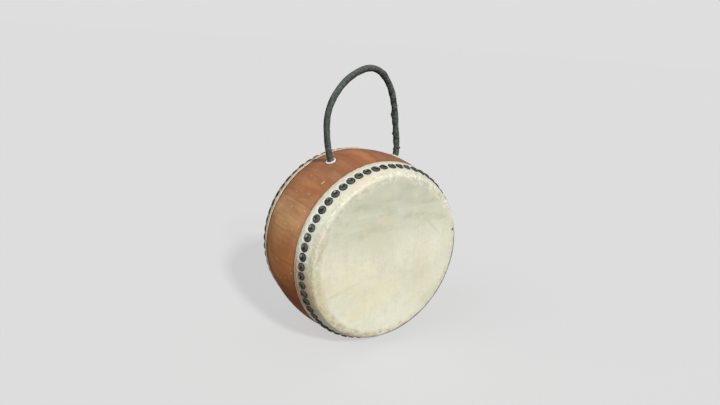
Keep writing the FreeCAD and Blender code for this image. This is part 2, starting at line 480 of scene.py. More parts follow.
def wood_material(name, number, heart, seed, chips, patches):
    """Satin-varnished hardwood, its grain drawn from the board's own width and length."""
    material, shader, start = new_material(name, Specular_IOR_Level=0.28)
    board = start.node("ShaderNodeAttribute", output=1, attribute_name="board")
    seam = start.node("ShaderNodeAttribute", output=2, attribute_name="seam")
    across, along, _ = board.parts()

    def figure(across_scale, along_scale, shift, detail=2.0, rough_share=0.5):
        place = start.vector(across * across_scale, along * along_scale, shift)
        return start.grain(place, 1.0, detail, rough_share)

    heart_across, heart_along, reach_share = heart
    wander = figure(40, 9, seed) - 0.5
    arch_across = across - heart_across
    arch_along = (along - heart_along) * reach_share
    arch = start.math("SQRT", arch_across * arch_across + arch_along * arch_along + 0.000004)
    rings = start.math("SINE", arch * 900 + wander * 14)
    streaks = figure(420, 11, seed + 3.1, 3.0, 0.6)
    blotches = figure(45, 30, seed + 7.7, 3.0, 0.6)
    pores = 1 - figure(2400, 90, seed + 5.3, 1.0).step(0.27, 0.40)
    fleck = figure(700, 420, seed + 1.9).step(0.60, 0.78)
    # Each board takes its neighbour's tone towards a tight joint.
    own = stains[stave_stains[number]]
    place = across / stave_half_width + (blotches - 0.5) * 0.9
    body = start.tint(place.step(-0.2, 1.05), own, shared_tone(number, 1))
    body = start.tint((place * -1).step(-0.2, 1.05), body, shared_tone(number, -1))
    drift = start.grain(start.object_place(), 24.0, 3.0, 0.6)
    body = body.under(
        (drift.step(0.50, 0.70) * 0.28, (190, 140, 96)),
        ((1 - drift.step(0.30, 0.48)) * 0.34, (146, 86, 58)),
    )
    # Painted shade darkens the boards towards the front, and they are a little darker towards the
    # back.
    body = body.stained((along * -1).step(-0.020, 0.036), 0.80, 0.78, 0.76)
    body = body.stained(along.step(0.012, 0.042), 0.88, 0.85, 0.83)
    depth = streaks.step(0.30, 0.72) * 0.18 + (rings * 0.5 + 0.5) * 0.18
    depth = depth + blotches.step(0.3, 0.72) * 0.64
    body = body.stained(1 - depth, 1.20, 1.19, 1.16).stained(depth, 0.82, 0.77, 0.72)
    rosy = figure(60, 24, seed + 11.3).step(0.48, 0.78)
    body = body.under(
        (rosy * 0.28, (180, 96, 70)),
        (pores * 0.22, (92, 52, 32)),
        (fleck * 0.14, (226, 182, 134)),
    )
    for patch_across, patch_along, length, width, tone, strength in patches:
        x = (across - patch_across) / width + (streaks - 0.5) * 0.7
        y = (along - patch_along) / length
        reach = x.across_to(y) + (blotches - 0.5) * 0.6
        body = body.under(((1 - reach.step(0.35, 1.15)) * strength, tone))
    # Along the hems the wood is darkened by dirt and by a painted shadow under the skin's edge.
    # Dirt also gathers in the joints.
    to_hem = abs(along) + blotches * 0.002
    before, after = joint_strength(number - 1), joint_strength(number)
    strength = across.step(-0.001, 0.001) * (after - before) + before
    strength = strength * (0.35 + figure(0.0, 70, 4.4).step(0.30, 0.60) * 0.65)
    body = body.under(
        (to_hem.step(0.0345, 0.0415) * 0.22, (112, 44, 26)),
        (to_hem.step(0.0405, 0.0420) * 0.60, (70, 34, 24)),
        ((1 - seam.step(0.0001, 0.0011)) * strength, (84, 40, 28)),
    )
    height = streaks * 0.5 + (1 - pores) * 0.5
    polish = 0.42 + streaks * 0.14 + blotches * 0.06
    chipped = None
    for chip_across, chip_along, length, width in chips:
        x = (across - chip_across) / width
        y = (along - chip_along) / length
        ragged = figure(900, 700, seed) - 0.5
        mark = 1 - (x.across_to(y) + ragged * 1.4).step(0.70, 1.10)
        chipped = start.math("MAXIMUM", chipped, mark) if chipped else mark
    if chipped:
        body = body.under((chipped * 0.75, (226, 190, 136)))
        height = height - chipped * 2.0
        polish = polish + chipped * 0.3
    feed(shader, Base_Color=body, Roughness=polish, Normal=relief(start, height, grain_relief))
    return material


def joint_strength(number):
    """How dark the joint after a stave is."""
    return open_joints.get(number % stave_count, tight_joint)


def shared_tone(number, way):
    """The tone of a board at the joint on one side, where it takes some of its neighbour's."""
    own = stains[stave_stains[number]]
    other = stains[stave_stains[(number + way) % stave_count]]
    joint = number if way > 0 else number - 1
    share = 0.42 if joint % stave_count in open_joints else 0.5
    return [a + (b - a) * share for a, b in zip(own, other)]


# Marks on the front head, as
# (x, height over the axis, half length, half width, turn, tone on the screen, strength)
head_marks = [
    (-0.052, -0.020, 0.040, 0.028, 10, (240, 231, 190), 0.30),
    (-0.016, -0.052, 0.044, 0.022, 25, (242, 233, 190), 0.30),
    (0.053, -0.012, 0.038, 0.015, 85, (228, 208, 184), 0.20),
    (0.056, -0.028, 0.010, 0.005, 80, (208, 190, 158), 0.16),
    (-0.048, -0.070, 0.020, 0.010, 5, (236, 214, 172), 0.18),
    (0.094, 0.004, 0.046, 0.012, 92, (214, 216, 190), 0.28),
    (0.068, -0.073, 0.026, 0.011, 46, (208, 202, 172), 0.42),
    (-0.099, -0.030, 0.034, 0.009, 104, (214, 204, 164), 0.45),
    (-0.010, 0.018, 0.040, 0.013, 6, (216, 212, 184), 0.30),
    (0.014, 0.066, 0.020, 0.012, 80, (222, 224, 212), 0.40),
    (0.026, -0.086, 0.040, 0.018, 8, (242, 240, 222), 0.40),
    (-0.011, 0.053, 0.022, 0.006, 4, (226, 208, 176), 0.30),
    (-0.030, 0.036, 0.066, 0.017, 5, (202, 198, 168), 0.24),
    (0.016, 0.084, 0.024, 0.013, 95, (184, 185, 166), 0.25),
    (0.046, 0.086, 0.022, 0.008, 80, (190, 194, 184), 0.25),
    (-0.030, 0.078, 0.024, 0.010, 70, (206, 208, 192), 0.30),
    (0.027, -0.0975, 0.0024, 0.0015, 10, (176, 172, 150), 0.60),
    (0.066, 0.036, 0.026, 0.0022, -42, (186, 182, 152), 0.22),
    (-0.070, -0.032, 0.030, 0.0030, 17, (192, 184, 152), 0.20),
    (0.1012, -0.0420, 0.0075, 0.0028, -66, (160, 160, 146), 0.75),
    (0.1034, 0.0255, 0.0026, 0.0018, 60, (80, 72, 54), 0.90),
]


def rawhide_material(name, front):
    """Ivory rawhide, mottled and smeared. The front one has the marks of the photograph."""
    material, shader, start = new_material(name)
    side = 1.0 if front else -1.0
    x, y, z = start.object_place().parts()
    x = x * side
    z = z - axis_height
    here = start.vector(x, y, z)
    radius = x.across_to(z)
    depth = y * -side
    cloud = start.grain(here, 17.0, 3.0, 0.55)
    patch = start.grain(start.vector(x + 3.3, y, z + 1.7), 26.0, 3.0, 0.6)
    pink = start.grain(start.vector(x + 7.1, y, z + 4.4), 21.0, 2.0)
    mottle = start.grain(here, 90.0, 4.0, 0.62)
    fine = start.grain(start.vector(x + 5.1, y, z), 260.0, 3.0, 0.6)
    speckle = start.grain(here, 620.0, 3.0, 0.6)
    smear = start.grain(start.vector(x * 26 + z * 4, y * 60, z * 84 - x * 5), 1.0, 3.0, 0.6)
    upright = start.grain(start.vector(x * 130, y * 60, z * 22 + 9.0), 1.0, 3.0, 0.6)
    hide = start.tint(cloud.step(0.30, 0.70), colour(227, 225, 201), colour(239, 237, 216))
    # The upper part is cooler and smeared, most of all above a straight crease.
    rise = z - x * 0.05 + (cloud - 0.5) * 0.050 + (mottle - 0.5) * 0.020 + (patch - 0.5) * 0.030
    ragged = radius + (patch - 0.5) * 0.036 + (mottle - 0.5) * 0.014
    inner = 1 - ragged.step(0.096, 0.114)
    cool = rise.step(0.004, 0.078) * inner
    smeared = (smear + (fine - 0.5) * 0.25).step(0.46, 0.70) * rise.step(0.020, 0.050) * inner
    crease = (z - x * 0.045 - 0.0640 + (mottle - 0.5) * 0.006).hump(0.0, 0.0036)
    # A pale ring shows where the skin lies on the crest of the wood.
    ring = radius.hump(crest_ring_radius, 0.0030) * depth.step(0.066, 0.069)
    # Handling has browned and greyed the fold in broken lines and patches. Low down it is also
    # darkened by painted shade, and on the upper right it is paler, partly as painted highlight.
    broken = start.vector(x / radius * 9, (radius - depth) * 330, z / radius * 9)
    lines = start.grain(broken, 1.0, 4.0, 0.65)
    low_side_dirt_and_shade = (x * -0.8 - z).step(0.010, 0.120)
    fold = radius.step(0.0975, 0.1055) * depth.step(0.057, 0.064)
    frayed_and_highlit = (x * 0.6 + z * 0.8).step(0.060, 0.110)
    browned = (lines + (mottle - 0.5) * 0.5).step(0.40, 0.68)
    browned = browned * (0.42 + low_side_dirt_and_shade * 0.34 - frayed_and_highlit * 0.34)
    # The skirt has a cool, chalky look. At the top it is peach and darkened by painted shade; low
    # down it is browned by dirt and painted shade.
    skirt = 1 - depth.step(0.058, 0.067)
    edge = radius.step(0.0985, 0.1040)
    hide = hide.under(
        (patch.step(0.50, 0.74) * 0.45, (240, 229, 190)),
        (pink.step(0.54, 0.76) * 0.40, (238, 218, 198)),
        (mottle.step(0.46, 0.72) * 0.36, (212, 208, 182)),
        (fine.step(0.50, 0.72) * 0.22, (208, 204, 176)),
        ((1 - fine.step(0.28, 0.48)) * 0.25, (250, 249, 238)),
        (upright.step(0.52, 0.74) * 0.25, (248, 247, 234)),
        ((1 - upright.step(0.24, 0.46)) * 0.16, (206, 202, 174)),
        (cool * (smear * 0.60 + 0.34), (196, 199, 176)),
        (smeared * 0.32, (186, 186, 156)),
        (crease * patch.step(0.36, 0.58) * inner * 0.28, (240, 243, 228)),
        (ring * mottle.step(0.44, 0.62) * 0.26, (244, 243, 228)),
        # The fold is greyed all round, and more on the left as painted shade.
        (fold * (0.30 + (x * -1).step(0.0, 0.10) * 0.30), (212, 211, 186)),
        (fold * browned, (184, 176, 146)),
        (skirt * 0.7, (212, 215, 201)),
    )
    smudge = start.tint(z.step(-0.05, 0.05), colour(192, 178, 152), colour(188, 190, 174))
    hide = hide.tint(edge * mottle.step(0.50, 0.66) * 0.40, hide, smudge)
    # Dirt and painted shade darken the fold low on the left.
    hide = hide.stained(fold * low_side_dirt_and_shade, 0.95, 0.90, 0.82)
    # On the upper right the edge is paler with frayed streaks, partly painted highlight.
    hide = hide.under(
        (edge * (1 - fine.step(0.34, 0.50)) * (0.36 + frayed_and_highlit * 0.40), (248, 248, 238)),
        (edge * patch.step(0.52, 0.66) * (0.34 - frayed_and_highlit * 0.24), (226, 204, 184)),
    )
    if not front:
        hide = hide.stained(skirt, 0.80, 0.68, 0.56)
    high = (x * -0.26 + z * 0.97).step(0.092, 0.116)
    peach = high * depth.hump(0.0625, 0.006) * mottle.step(0.40, 0.60) * 0.5
    # Low on the left the skirt is browned by dirt and darkened by painted shade.
    grime_and_shade = (x * -0.951 - z * 0.309).step(0.103, 0.1165) * (1 - depth.step(0.061, 0.069))
    # Painted shade darkens the skirt at the top.
    hide = hide.stained(skirt * high, 0.90, 0.90, 0.90)
    hide = hide.under((peach, (240, 214, 184)), (grime_and_shade * 0.45, (220, 192, 160)))
    hide = hide.stained(grime_and_shade, 0.66, 0.56, 0.47)
    # The lowest skirt is paler again, with less dirt and painted bounce light, and the cut lip of
    # the hem is raw and tan.
    hide = hide.under(
        ((x * -0.643 - z * 0.766).step(0.106, 0.115) * 0.6, (240, 234, 214)),
        ((1 - depth.step(0.0400, 0.0442)) * 0.9, (234, 212, 178)),
    )
    # Painted shade darkens the face's rim low down.
    shaded_low_rim = (x * -0.342 - z * 0.940).step(0.1030, 0.1075) * depth.step(0.0685, 0.0700)
    hide = hide.stained(shaded_low_rim, 0.76, 0.77, 0.80)
    # Painted shade draws a dark line along the lower right rim, where the fold turns from the
    # light.
    shade_line_radius = radius + (patch - 0.5) * 0.0034 + (mottle - 0.5) * 0.0014
    painted_shade_rim = (x * 0.80 - z * 0.60).step(0.056, 0.090) * shade_line_radius.step(0.1064, 0.1084)
    hide = hide.under(
        (painted_shade_rim * depth.step(0.050, 0.060) * 0.92, (104, 102, 90)),
        (speckle.step(0.66, 0.80) * 0.35, (180, 170, 138)),
    )
    for mark_x, mark_z, length, width, turn, tone, strength in head_marks if front else ():
        cosine, sine = math.cos(math.radians(turn)), math.sin(math.radians(turn))
        u = ((x - mark_x) * cosine + (z - mark_z) * sine) / length
        v = ((z - mark_z) * cosine - (x - mark_x) * sine) / width
        reach = u.across_to(v) + (mottle - 0.5) * 1.2
        amount = (1 - reach.step(0.4, 1.2)) * depth.step(0.058, 0.064)
        hide = hide.under((amount * strength, tone))
    height = mottle * 0.45 + speckle * 0.2 + fine * 0.35
    polish = 0.50 + mottle * 0.16
    feed(shader, Base_Color=hide, Roughness=polish, Normal=relief(start, height, hide_relief))
    return material


def tack_material(name, black, wear_and_sheen):
    """Black paint on stamped steel, worn to grey metal on the dome and dark at its edge, with a
    paler ring of wear and painted sheen, a painted glint and a spot of painted shade on each dome.
    """
    steady = {"Metallic": 0.2, "Specular_IOR_Level": 0.35}
    material, shader, start = new_material(name, **steady)
    place = start.object_place()
    across, along, _ = start.node("ShaderNodeAttribute", output=1, attribute_name="dome").parts()
    dents = start.grain(place, 260.0, 2.0)
    scuffs = start.grain(place, 900.0, 3.0, 0.6)
    each = start.grain(place, 80.0, 1.0)
    bright = start.grain(place, 47.0, 1.0).step(0.40, 0.62)
    from_middle = across.across_to(along) + (scuffs - 0.5) * 0.15
    # Painted shade darkens a spot on the same side of every dome.
    shade_spot = (across - 0.12).across_to(along + 0.10) + (dents - 0.5) * 0.5
    # A painted glint lies on the same side of every dome.
    glint_across = across + (each - 0.5) * 1.6
    glint_along = (along - 0.38) * math.sqrt(1.3)
    painted_glint = 1 - (glint_across.across_to(glint_along) + (scuffs - 0.5) * 0.25).step(0.12, 0.40)
    paint = start.tint(each.step(0.35, 0.65) * wear_and_sheen, black, colour(77, 79, 73))
    paint = paint.under(
        # A paler ring of worn paint, partly painted sheen.
        (from_middle.hump(0.68, 0.22) * 0.40 * wear_and_sheen, (106, 108, 100)),
        (from_middle.step(0.84, 0.93) * 0.80, (27, 27, 24)),
        ((1 - shade_spot.step(0.18, 0.46)) * 0.80, (16, 17, 18)),
        (painted_glint * (0.30 + bright * 0.55) * wear_and_sheen, (192, 197, 199)),
    )
    height = dents + scuffs * 0.15
    polish = 0.52 + scuffs * 0.20
    feed(shader, Base_Color=paint, Roughness=polish, Normal=relief(start, height, dent_relief))
    return material


def grommet_material():
    """Glossy white plastic, a little grimy."""
    material, shader, start = new_material("white_grommet_plastic", Coat_Weight=0.3)
    grime = start.grain(start.object_place(), 300.0, 3.0, 0.6)
    white = start.tint(grime.step(0.55, 0.80) * 0.5, colour(240, 241, 238), colour(196, 192, 180))
    polish = 0.16 + grime * 0.14
    feed(shader, Base_Color=white, Roughness=polish, Normal=relief(start, grime, plastic_relief))
    return material


def rope_material():
    """Charcoal cloth wound round a rope, woven fine and dusty, with painted shade on its underside.
    """
    material, shader, start = new_material("charcoal_cloth", Specular_IOR_Level=0.15)
    around_rope, along_rope, _ = start.node("ShaderNodeUVMap").parts()
    threads_per_metre = math.tau / thread_pitch
    warp = start.math("SINE", (around_rope + along_rope * 0.55) * threads_per_metre)
    weft = start.math("SINE", (along_rope - around_rope * 0.55) * threads_per_metre)
    threads = start.math("MAXIMUM", warp, weft) * 0.5 + 0.5
    place = start.object_place()
    dust = start.grain(place, 260.0, 4.0, 0.65)
    fuzz = start.grain(place, 1500.0, 2.0)
    grime = start.grain(place, 190.0, 3.0, 0.6)
    right_leg = along_rope.step(0.15, 0.20)
    combed = start.vector(around_rope * 1500, along_rope * 160, 2.0)
    combed = start.grain(combed, 1.0, 3.0, 0.6)
    cloth = start.tint(threads, colour(42, 47, 45), colour(94, 101, 96)).under(
        (dust.step(0.42, 0.64) * 0.58, (126, 132, 127)),
        (fuzz.step(0.55, 0.75) * 0.20, (126, 130, 126)),
        (grime.step(0.46, 0.62) * (0.26 + right_leg * 0.40), (28, 31, 30)),
        (combed.step(0.48, 0.70) * 0.40, (42, 46, 44)),
    )
    # Painted shade darkens the outer side of the left leg, and the underside of the rest.
    share = around_rope / (math.tau * rope_radius)
    shaded_side = along_rope.step(0.088, 0.120) * -0.490 + along_rope.step(0.170, 0.220) * 0.100
    dark = start.math("FRACT", share - (shaded_side + 0.190) + 0.5).hump(0.5, 0.32)
    lap = start.math("FRACT", share + along_rope / cloth_pitch)
    cloth = cloth.stained(dark * 0.95, 0.38, 0.39, 0.39).under(
        # Each lap of cloth on the right leg has a pale raised edge, and painted shade in the groove
        # after it.
        (lap.hump(0.90, 0.10) * right_leg * 0.35, (128, 133, 128)),
        (lap.hump(0.03, 0.06) * right_leg * 0.45, (26, 28, 27)),
    )
    height = threads * 0.7 + fuzz * 0.3
    polish = 0.82 + dust * 0.12
    feed(shader, Base_Color=cloth, Roughness=polish, Normal=relief(start, height, weave_relief))
    return material


# Pieces

# Boards that show arches: the middle of their rings, as (across, along, how it is drawn out)
arched_hearts = {
    17: (-0.002, 0.012, 0.45),
    4: (-0.003, -0.015, 0.25),
    9: (0.004, 0.005, 0.3),
    12: (-0.002, 0.018, 0.2),
}

# Pale chips in the varnish, as (angle round the drum, along, half length, half width)
varnish_chips = [
    (-38.8, -0.0247, 0.0012, 0.0036), (-38.4, 0.0048, 0.0008, 0.0009),
    (-50.8, 0.0051, 0.0008, 0.0010), (-48.6, -0.0202, 0.0012, 0.0008),
    (-59.4, -0.0041, 0.0011, 0.0014), (-57.9, -0.0297, 0.0010, 0.0013),
    (-69.9, -0.0077, 0.0010, 0.0013), (-67.3, -0.0329, 0.0011, 0.0024),
    (-70.5, -0.0241, 0.0009, 0.0016), (-91.9, -0.0008, 0.0013, 0.0012),
    (-95.6, -0.0339, 0.0010, 0.0015), (-103.1, -0.0073, 0.0016, 0.0010),
    (-101.3, -0.0191, 0.0010, 0.0014), (64.0, 0.0120, 0.0018, 0.0009),
    (112.0, -0.0200, 0.0020, 0.0010), (121.0, 0.0180, 0.0014, 0.0009),
    (190.0, -0.0060, 0.0022, 0.0010), (31.0, 0.0260, 0.0012, 0.0010),
]

# Soft patches in the stain, as
# (angle round the drum, along, half length, half width, tone on the screen, strength).
# The first two darken the wood round the grommets with grime and painted contact shade.
stain_patches = [
    (-23.9, 0.0035, 0.0105, 0.0100, (100, 48, 34), 0.60),
    (23.9, 0.0035, 0.0105, 0.0100, (100, 48, 34), 0.60),
    (-6.0, -0.010, 0.038, 0.0095, (216, 146, 84), 0.46),
    (-14.5, 0.006, 0.028, 0.0050, (156, 78, 54), 0.48),
    (-15.0, -0.024, 0.020, 0.0050, (160, 88, 64), 0.34),
    (2.5, -0.022, 0.016, 0.0070, (182, 122, 98), 0.35),
    (-31.0, -0.028, 0.016, 0.0080, (184, 132, 102), 0.24),
    (-31.0, 0.012, 0.024, 0.0070, (156, 88, 62), 0.34),
    (-43.0, -0.006, 0.030, 0.0070, (198, 142, 94), 0.38),
    (-61.0, 0.006, 0.026, 0.0050, (200, 150, 116), 0.30),
    (-66.0, -0.018, 0.020, 0.0060, (218, 176, 120), 0.26),
    (-97.0, 0.002, 0.026, 0.0050, (202, 140, 74), 0.30),
    (-88.0, -0.010, 0.020, 0.0050, (188, 134, 78), 0.25),
    (-103.0, 0.012, 0.020, 0.0045, (206, 132, 70), 0.30),
    (-51.0, 0.010, 0.034, 0.0050, (156, 94, 62), 0.30),
    (-116.0, -0.004, 0.034, 0.0090, (128, 56, 30), 0.45),
    (-110.0, 0.000, 0.036, 0.0080, (118, 54, 26), 0.40),
]


def on_stave(number, marks):
    """The marks that touch one stave, with their places across it instead of round the drum."""
    centre = seam_phase + (number + 0.5) * stave_angle
    found = []
    for angle, along, length, width, *rest in marks:
        across = math.radians((angle - centre + 180) % 360 - 180) * belly_radius
        if abs(across) < stave_half_width + width:
            found.append((across, along, length, width, *rest))
    return found


def stave_shape():
    """A tree that bends a flat sheet to the barrel's curve and thickens it to a stave."""
    shape = NodeShape("barrel_stave", {"Middle Angle": "Float", "Material": "Material"})
    start = shape.input("Middle Angle")
    half = math.radians(stave_angle / 2)
    size = {"Size X": 2 * half, "Size Y": 2 * wood_half_depth}
    counts = {"Vertices X": points_across, "Vertices Y": points_along}
    sheet = start.node("GeometryNodeMeshGrid", {**size, **counts})
    turn, y, _ = start.node("GeometryNodeInputPosition").parts()
    seam = (half - abs(turn)) * belly_radius
    board = start.vector(turn * belly_radius, y, 0.0)
    for name, value, kind in (("board", board, "FLOAT_VECTOR"), ("seam", seam, "FLOAT")):
        store = {"Geometry": sheet, "Name": name, "Value": value}
        sheet = start.node("GeometryNodeStoreNamedAttribute", store, data_type=kind, domain="POINT")
    crest = float(barrel(wood_half_depth)) - edge_ease
    to_rim = wood_half_depth - abs(y)

    def radius(inset):
        curve = barrel_curve - inset
        return start.math("SQRT", curve**2 - y * y) + (belly_radius - inset - curve)

    def bent(distance, spread):
        angle = turn + start * math.radians(1.0)
        x = distance * start.math("SINE", angle) / spread
        return start.vector(x, y, distance * start.math("COSINE", angle) / spread + axis_height)

    # The outside falls to a bevel at the rim and is eased at each joint.
    eased = (1 - (seam / seam_ease_width).step(0.0, 1.0)) * seam_ease_depth
    outer = start.math("MINIMUM", radius(0.0) - eased, crest + to_rim)
    inner_bevel = crest - crest_width + to_rim * inner_bevel_slope
    inner = start.math("MINIMUM", radius(stave_thickness), inner_bevel)
    captured = start.node("GeometryNodeCaptureAttribute", {"Geometry": sheet})
    capture = captured.socket.node
    for name in ("outside", "inside"):
        capture.capture_items.new("VECTOR", name)
    start.tree.links.new(bent(outer, 1.0).socket, capture.inputs[1])
    start.tree.links.new(bent(inner, start.math("COSINE", turn)).socket, capture.inputs[2])
    outside, inside = [Wire(start.tree, capture.outputs[i]) for i in (1, 2)]
    top = start.node("GeometryNodeSetPosition", {"Geometry": captured, "Position": outside})
    walls = {"Mesh": top, "Offset Scale": MM, "Individual": False}
    solid = start.node("GeometryNodeExtrudeMesh", walls)
    extruded = Wire(start.tree, solid.socket.node.outputs["Top"])
    moved = {"Geometry": solid, "Selection": extruded, "Position": inside}
    solid = start.node("GeometryNodeSetPosition", moved)
    joined = start.node("GeometryNodeJoinGeometry", {"Geometry": solid})
    start.tree.links.new(top.socket, joined.socket.node.inputs[0])
    weld = {"Geometry": joined, "Distance": weld_distance}
    shape.finish(start.node("GeometryNodeMergeByDistance", weld), shape.input("Material"))
    return shape


def make_staves():
    """The staves of the shell, each with its own board of wood."""
    shape = stave_shape()
    draw = random.Random(11)
    for i in range(stave_count):
        name = f"stave_{i + 1:02d}"
        off_middle = plain_heart * draw.choice((-1, 1)) + draw.uniform(-heart_wander, heart_wander)
        heart = arched_hearts.get(i, (off_middle, 0.0, plain_arch))
        seed = draw.uniform(0, 50)
        marks = on_stave(i, varnish_chips), on_stave(i, stain_patches)
        material = wood_material(f"{name}_wood", i, heart, seed, *marks)
        angle = seam_phase + (i + 0.5) * stave_angle
        mesh = shape.make(f"{name}_board", Middle_Angle=angle, Material=material)
        turn_outwards(mesh)
        shell_piece(f"{name}_board", name, mesh, material)


def skirt_lean(y):
    """Slope of the skirt at y, in radians."""
    return math.atan2(y, math.sqrt(barrel_curve**2 - y**2))


def head_profile():
    """The skin's outside as (radius, depth, normal's depth part), from the middle to the hem."""
    touch = wood_half_depth
    for _ in range(6):
        touch = head_half_depth - fold_radius * (1 - math.sin(skirt_lean(touch)))
    lean = skirt_lean(touch)
    touch_radius = float(barrel(touch)) + skin_offset
    centre_radius = touch_radius - fold_radius * math.cos(lean)
    centre_depth = head_half_depth - fold_radius
    rows = []
    for i in range(1, face_rows + 1):
        rows.append((centre_radius * (i / face_rows) ** 0.85, head_half_depth, math.pi / 2))
    for i in range(1, fold_rows + 1):
        t = math.pi / 2 + (lean - math.pi / 2) * i / fold_rows
        fold = centre_radius + fold_radius * math.cos(t), centre_depth + fold_radius * math.sin(t)
        rows.append((*fold, t))
    lip = hem_half_spacing + lip_overlap
    for i in range(1, skirt_rows + 1):
        y = touch + (lip - touch) * i / skirt_rows
        rows.append((float(barrel(y)) + skin_offset, y, skirt_lean(y)))
    return rows


def skin_relief(radius, depth, angle, seed, bite, feather):
    """How far the skin stands out from its plain form, in metres.

    The tacks press it in by the bite, and it thins to its hem over the feather.
    """
    turn = np.radians(angle)
    x, z = radius * np.sin(turn), radius * np.cos(turn)
    drum_face = ramp(depth, 0.0665, 0.0695)
    skirt = 1 - ramp(depth, 0.058, 0.066)
    phase = (angle - seam_phase) / tack_angle
    between = 0.5 + 0.5 * np.cos(math.tau * phase)
    strength = 0.5 + 0.5 * rough(np.sin(turn), np.cos(turn), 0 * x, 9.0, seed)
    off_row = ramp(np.abs(depth - tack_half_spacing), 0.001, 0.009)
    pucker = between * strength * pucker_height * skirt * off_row
    from_tack = np.hypot((phase % 1.0 - 0.5), (depth - tack_half_spacing) / swell_reach)
    pressed = -bite * bite_depth * (1 - ramp(from_tack, 0.40, 0.50)) * skirt
    swell = swell_height + hem_swell_height * ramp(tack_half_spacing - depth, -0.002, 0.004)
    swell = swell * ramp(from_tack, 0.42, 0.56) * (1 - ramp(from_tack, 0.62, 0.95)) * skirt
    thinned = 1 - ramp(depth, hem_half_spacing, hem_half_spacing + feather)
    thinned = -hem_thinning * skin_thickness * thinned
    pleats = rough(np.sin(turn) * 0.118, depth * 0.16, np.cos(turn) * 0.118, 330.0, seed + 2)
    pleats = pleats * pleat_height * ramp(radius, 0.098, 0.112) * (0.35 + 0.65 * strength)
    sag = rough(x, 0 * x, z, 22.0, seed + 4) * sag_depth
    sag = sag * drum_face * (1 - ramp(radius, 0.095, 0.106))
    ridge = ramp(radius, crest_ring_radius - 0.0025, crest_ring_radius) - 1
    ridge = crest_line_depth * ridge * drum_face
    wrinkles = rough(x * 0.7 + z * 0.2, 0 * x, z * 3.0, 60.0, seed + 6)
    wrinkles = wrinkle_height * wrinkles * drum_face
    return pucker + pressed + swell + thinned + pleats + sag + ridge + wrinkles


def make_head(name, node, side, material, seed, bite, trim, feather):
    """One rawhide head: drum skin, fold, puckered skirt and cut hem, closed on its inner side."""
    angle = np.arange(head_segments) * 360.0 / head_segments
    turn = np.radians(angle)
    rings = []
    cut = hem_wave * rough(np.sin(turn), np.cos(turn), 0 * turn, 4.0, seed)
    cut += hem_nicks * rough(np.sin(turn), np.cos(turn), 0 * turn, 22.0, seed + 1) - trim
    for radius, depth, tilt in head_profile():
        lift = skin_relief(radius + 0 * angle, depth + 0 * angle, angle, seed, bite, feather)
        y = depth - cut * ramp(depth, 0.050, hem_half_spacing) + lift * math.sin(tilt)
        rings.append(around(radius + lift * math.cos(tilt), side * y, angle))
    # The cut lip, and the lining on the wood
    lip = hem_half_spacing - cut
    hem = barrel(hem_half_spacing) + skin_gap
    for rise, back in ((0.33, 0.08), (0.22, 0.0), (0.08, 0.0), (0.0, 0.15)):
        rings.append(around(hem + rise * skin_thickness, side * (lip + back * MM), angle))
    for y in np.linspace(hem_half_spacing + 0.004, wood_half_depth - edge_ease, lining_rows):
        rings.append(around(barrel(y) + skin_gap + 0 * angle, side * y, angle))
    crest = float(barrel(wood_half_depth)) - edge_ease + skin_gap
    for radius in (crest, crest * 0.5):
        rings.append(around(radius + 0 * angle, side * (wood_half_depth + skin_gap), angle))
    shell_piece(name, node, mesh_of_rings(name, rings), material, 60.0)


def lathed(profile, sides):
    """Rings round +Z through a profile of (radius, height)."""
    turns = np.arange(sides) * math.tau / sides
    return [[(r * math.cos(t), r * math.sin(t), h) for t in turns] for r, h in profile]


def tack_mesh():
    """One tack at the origin, its head up: a rim, a dome and a round shank."""
    dome = ((0.97, 0.0), (1.0, 0.13), (0.95, 0.26), (0.86, 0.36))
    dome += ((0.72, 0.68), (0.50, 0.90), (0.24, 0.98))
    profile = [(shank_radius, -shank_length), (shank_radius, 0.0)]
    profile += [(tack_radius * out, tack_height * up) for out, up in dome]
    mesh = mesh_of_rings("tack", lathed(profile, tack_sides))
    places = mesh.attributes.new("dome", "FLOAT_VECTOR", "POINT")
    for vertex, entry in zip(mesh.vertices, places.data):
        entry.vector = vertex.co / tack_radius
    return mesh


def tack_ring_shape():
    """A tree that sets tacks round a head, each square to the skirt and a little uneven."""
    kinds = {"Tack": "Object", "Side": "Float", "Count": "Int", "Lean": "Float"}
    kinds.update({"Seat": "Float", "Seed": "Int", "Material": "Material"})
    shape = NodeShape("tack_ring", kinds)
    side = shape.input("Side")
    index = side.node("GeometryNodeInputIndex")

    def uneven(salt):
        limits = {"Min": (-1, -1, -1), "Max": (1, 1, 1)}
        values = {**limits, "ID": index, "Seed": shape.input("Seed") + salt}
        return side.node("FunctionNodeRandomValue", values, data_type="FLOAT_VECTOR").parts()

    def turned(axis, angle):
        return side.node("FunctionNodeAxisAngleToRotation", {"Axis": axis, "Angle": angle})

    slip, along, lift = uneven(1)
    tip, roll, size = uneven(2)
    angle = (index + 0.5) * math.radians(tack_angle) + math.radians(seam_phase) + slip * 0.0022
    reach = shape.input("Seat") + lift * 0.00015
    x = reach * side.math("SINE", angle)
    z = reach * side.math("COSINE", angle) + axis_height
    y = (along * 0.00035 + tack_half_spacing) * side
    places = {"Count": shape.input("Count"), "Position": side.vector(x, y, z)}
    square = turned((0, 1, 0), angle)
    leaned = turned((1, 0, 0), shape.input("Lean") * side * -1 + tip * 0.05)
    spun = turned((0, 0, 1), roll * 0.8 + (side + 1) * (math.pi / 2))
    for rotation in (leaned, spun):
        both = {0: square, 1: rotation}
        square = side.node("FunctionNodeRotateRotation", both, rotation_space="LOCAL")
    scale = size * 0.03 + 1.0
    values = {
        "Points": side.node("GeometryNodePoints", places),
        "Instance": side.node("GeometryNodeObjectInfo", {"Object": shape.input("Tack")}, 4),
        "Rotation": square,
        "Scale": side.vector(scale, scale, scale),
    }
    shape.finish(side.node("GeometryNodeInstanceOnPoints", values), shape.input("Material"))
    return shape


